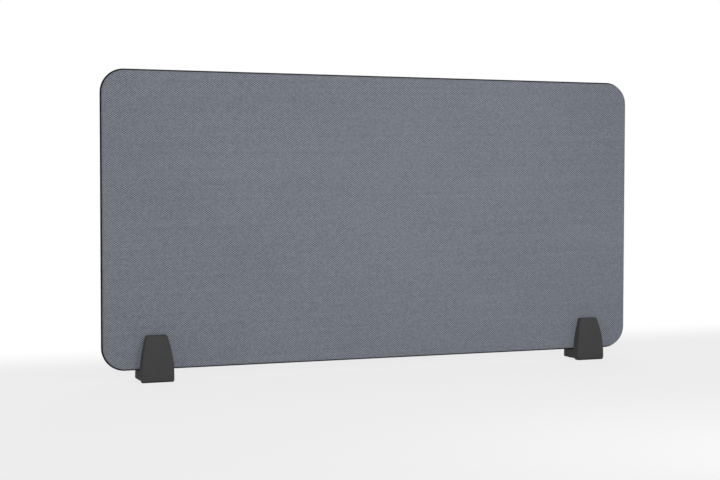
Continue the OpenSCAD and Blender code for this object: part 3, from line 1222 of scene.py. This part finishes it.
@dataclass
class Foot:
    """One clamp foot: its moulded body, base pads, liner, pressure plate, screw and insert."""

    side: Side
    axis: Pair
    screw_span: Pair
    insert_span: Pair
    insert_outer: float
    pitch: float = 1 * MM
    crest: float = 3 * MM
    thread_depth: float = 0.55 * MM
    flank_slope: float = 2.4
    crest_flat: float = 0.15
    end_chamfer: float = 0.5 * MM
    tip: float = 2.2 * MM
    tip_length: float = 1.4 * MM
    tip_bevel: float = 0.2 * MM
    neck: float = 1.6 * MM
    neck_length: float = 2.6 * MM
    socket_reach: float = 1.5 * MM
    socket_depth: float = 3 * MM
    socket_lead: float = 0.12 * MM
    socket_cone: float = 0.15
    screw_sides: int = 48
    rings_a_pitch: int = 10
    insert_bore: float = 3.1 * MM
    insert_waist: float = 0.4 * MM
    insert_bevel: float = 0.25 * MM
    knurl_depth: float = 0.25 * MM
    knurls: int = 30
    points_a_knurl: int = 6

    @classmethod
    def from_frame(cls, side: Side) -> "Foot":
        """Takes the size of one foot's screw and insert from their solids.

        Args:
            side: which foot it is.

        Returns:
            The foot.
        """
        screw_low, screw_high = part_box(side.value + "_clamp_screw")
        insert_low, insert_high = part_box(side.value + "_screw_insert")
        return cls(
            side,
            axis=((screw_low.x + screw_high.x) / 2, (screw_low.z + screw_high.z) / 2),
            screw_span=(screw_low.y, screw_high.y),
            insert_span=(insert_low.y, insert_high.y),
            insert_outer=(insert_high.z - insert_low.z) / 2,
        )

    def name(self, piece: str) -> str:
        """The name of this foot's piece or body."""
        return f"{self.side.value}_{piece}"

    def mouldings(self) -> None:
        """Makes the moulded and rubber pieces from their solids, with smooth curves."""
        plan = [
            ("foot_body", "foot_shell", FOOT_PLASTIC, "foot"),
            ("front_base_pad", "front_base_rubber", RUBBER, "foot"),
            ("rear_base_pad", "rear_base_rubber", RUBBER, "foot"),
            ("jaw_liner", "jaw_facing", LINER, "foot"),
            ("clamp_plate", "pressure_plate", PLATE_PLASTIC, "clamp"),
            ("clamp_pad", "plate_facing", LINER, "clamp"),
        ]
        for node, piece, finish, body in plan:
            made = merged_copy(self.name(node), self.name(piece))
            fit_piece(made, finish, self.name(body), self.name(node))

    def screw(self) -> None:
        """Cuts the set screw: tip, neck, thread and hexagon socket.

        The thread's radius is the crest less its depth times a ridge that falls and
        rises once a pitch along the axis and once a turn round it. The socket's radius at
        angle t is its reach over cos(t mod 60 - 30), in degrees.
        """
        count = self.screw_sides
        angle = TURN * np.arange(count) / count
        tip_start, last = self.screw_span
        tip_stop = tip_start + self.tip_length
        first = tip_stop + self.neck_length
        narrow = self.tip - self.tip_bevel
        plain = [
            (narrow, tip_start), (self.tip, tip_start + self.tip_bevel),
            (self.tip, tip_stop - self.tip_bevel), (narrow, tip_stop),
            (self.neck, tip_stop), (self.neck, first),
        ]
        steps = round(self.rings_a_pitch * (last - first) / self.pitch)
        depth = np.linspace(first, last, 1 + steps)
        phase = (depth[:, None] / self.pitch - angle[None, :] / TURN) % 1.0
        ridge = np.clip(self.flank_slope * np.abs(phase - 0.5) - self.crest_flat, 0.0, 1.0)
        thread = self.crest - self.thread_depth * ridge
        ends = np.minimum(depth - first, last - depth)[:, None]
        thread = np.minimum(thread, self.crest - self.end_chamfer + ends)
        hexagon = self.socket_reach / np.cos(angle % (math.pi / 3) - math.pi / 6)
        rings = [np.full(count, r) for r, _ in plain] + list(thread)
        rings += [hexagon + self.socket_lead, hexagon, hexagon, self.socket_cone * hexagon]
        depths = [y for _, y in plain] + list(depth) + [last, last - self.socket_lead]
        depths += [last - self.socket_depth, last - (1 + self.socket_cone) * self.socket_depth]
        surface = turned(np.array(rings), np.array(depths), self.axis)
        piece = surface.build(self.name("set_screw"), smooth_below=40.0)
        fit_piece(piece, SCREW_STEEL, self.name("screw"), self.name("clamp_screw"))

    def insert(self) -> None:
        """Turns the threaded insert, with two knurled bands and a waist between them.

        A knurled ring's radius is the profile's less the knurl's depth times a wave that
        falls and rises in straight lines once a knurl. The bore is plain.
        """
        count, (start, stop) = self.points_a_knurl * self.knurls, self.insert_span
        angle = TURN * np.arange(count) / count
        third, bevel = (stop - start) / 3, self.insert_bevel
        outer, waist = self.insert_outer, self.insert_outer - self.insert_waist
        profile = [
            (self.insert_bore + bevel, start, 0.0), (outer - bevel, start, 0.0),
            (outer, start + bevel, 1.0), (outer, start + third - bevel, 1.0),
            (waist, start + third, 0.0), (waist, stop - third, 0.0),
            (outer, stop - third + bevel, 1.0), (outer, stop - bevel, 1.0),
            (outer - bevel, stop, 0.0), (self.insert_bore + bevel, stop, 0.0),
            (self.insert_bore, stop - bevel, 0.0), (self.insert_bore, start + bevel, 0.0),
        ]
        radius, depth, knurled = (np.array(column) for column in zip(*profile))
        teeth = np.abs((angle * self.knurls / TURN) % 1.0 - 0.5) * 2
        radii = radius[:, None] - self.knurl_depth * knurled[:, None] * teeth[None, :]
        surface = turned(radii, depth, self.axis, closed=True)
        piece = surface.build(self.name("brass_insert"), smooth_below=40.0)
        fit_piece(piece, BRASS, self.name("foot"), self.name("screw_insert"))

    def build(self) -> None:
        """Builds the foot's pieces."""
        self.mouldings()
        self.screw()
        self.insert()


# Studio


@dataclass(frozen=True)
class Lamp:
    """A soft square lamp that looks at a point."""

    name: str
    place: Place
    target: Place
    size: float
    power: float

    def build(self) -> None:
        """Hangs the lamp."""
        light = bpy.data.lights.new(self.name, "AREA")
        light.shape = "SQUARE"
        light.size = self.size
        light.energy = self.power
        hung = bpy.data.objects.new(self.name, light)
        hung.location = self.place
        aim = Vector(self.target) - Vector(self.place)
        hung.rotation_euler = aim.to_track_quat("-Z", "Y").to_euler()
        hung.visible_camera = False
        bpy.context.scene.collection.objects.link(hung)


@dataclass(frozen=True)
class Viewpoint:
    """The photograph's camera, by its place, its angles and its focal length in pixels."""

    place: Place = (-1.174626, -2.805887, 0.408586)
    yaw: float = 0.381773
    pitch: float = 0.0387285
    roll: float = 0.00147404
    focal_pixels: float = 1430.025
    axis_row: float = 232.5855
    width: int = 720
    height: int = 480
    sensor: float = 36.0
    clip: Pair = (0.01, 100.0)

    def build(self) -> None:
        """Sets the camera up: yaw to the right, pitch down, then roll."""
        ahead = Vector(
            (
                math.sin(self.yaw) * math.cos(self.pitch),
                math.cos(self.yaw) * math.cos(self.pitch),
                -math.sin(self.pitch),
            )
        )
        level = Vector((math.cos(self.yaw), -math.sin(self.yaw), 0.0))
        upright = level.cross(ahead)
        right = math.cos(self.roll) * level + math.sin(self.roll) * upright
        above = math.cos(self.roll) * upright - math.sin(self.roll) * level
        lens = bpy.data.cameras.new("viewpoint")
        lens.sensor_width = self.sensor
        lens.sensor_fit = "HORIZONTAL"
        lens.lens = self.focal_pixels * self.sensor / self.width
        lens.shift_y = (self.axis_row - self.height / 2) / self.width
        lens.clip_start, lens.clip_end = self.clip
        camera = bpy.data.objects.new("viewpoint", lens)
        turn = Matrix((right, above, -ahead)).transposed().to_4x4()
        camera.matrix_world = Matrix.Translation(self.place) @ turn
        bpy.context.scene.collection.objects.link(camera)
        bpy.context.scene.camera = camera


@dataclass(frozen=True)
class Studio:
    """A pale floor that fades into white, and soft lamps."""

    floor_tone: float = 0.83
    seen_tone: float = 0.895
    seen_share: float = 0.85
    floor_half: float = 8.0
    fade: Pair = (0.15, 0.6)
    ring: Pair = (2.0, 6.8)
    room_light: float = 0.4
    lamps: tuple[Lamp, ...] = (
        Lamp("fill", (-1.3, -3.3, 0.9), (0.0, 0.0, 0.3), 0.8, 39.0),
        Lamp("front", (0.22, -1.25, 0.5), (0.18, 0.0, 0.15), 0.4, 4.55),
        Lamp("side", (-3.5, -0.6, 1.4), (-0.3, 0.0, 0.3), 1.2, 10.0),
        Lamp("back", (1.5, 3.4, 2.6), (0.0, 0.0, 0.3), 2.0, 45.0),
    )

    def floor(self) -> None:
        """Lays the floor, which turns white behind the screen and far from it.

        The share of white is the larger of a step in y over the fade and a step in
        x x + y y over the ring. Where the floor isn't seen, it is only lit.
        """
        half = self.floor_half
        corners = [[-half, -half, 0.0], [half, -half, 0.0], [half, half, 0.0], [-half, half, 0.0]]
        laid = Surface(np.array(corners), [[0, 1, 2, 3]]).build("floor")
        made = bpy.data.materials.new("pale_floor")
        made.use_nodes = True
        graph = Graph(made.node_tree)
        x, y, _ = graph.parts(graph.object_place())
        far = y.step_up(*self.fade).at_least((x * x + y * y).step_up(*self.ring))
        share = graph.seen() * (self.seen_share + (1.0 - self.seen_share) * far)
        tone = graph.blend(far, (self.seen_tone,) * 3, WHITE)
        matt = graph.add("ShaderNodeBsdfDiffuse", None, {"Color": (self.floor_tone,) * 3})
        glow = graph.add("ShaderNodeEmission", None, {"Color": tone})
        graph.show("ShaderNodeOutputMaterial", share, matt, glow)
        laid.data.materials.append(made)

    def surroundings(self) -> None:
        """Lights the room evenly, and shows white where the room is seen."""
        world = bpy.data.worlds.new("white_room")
        world.use_nodes = True
        bpy.context.scene.world = world
        graph = Graph(world.node_tree)
        lit, plain = (
            graph.add("ShaderNodeBackground", None, {"Color": WHITE, "Strength": strength})
            for strength in (self.room_light, 1.0)
        )
        graph.show("ShaderNodeOutputWorld", graph.seen(), lit, plain)

    def build(self) -> None:
        """Sets up the floor, the surroundings and the lamps."""
        bpy.context.scene.view_settings.view_transform = "Standard"
        self.surroundings()
        self.floor()
        for lamp in self.lamps:
            lamp.build()


def main() -> None:
    """Builds the camera, the studio, the panel and both feet."""
    logging.basicConfig(level=logging.INFO, format="%(name)s: %(message)s")
    Viewpoint().build()
    Studio().build()
    Panel.from_frame().build()
    for side in Side:
        Foot.from_frame(side).build()


if __name__ == "__main__":
    main()
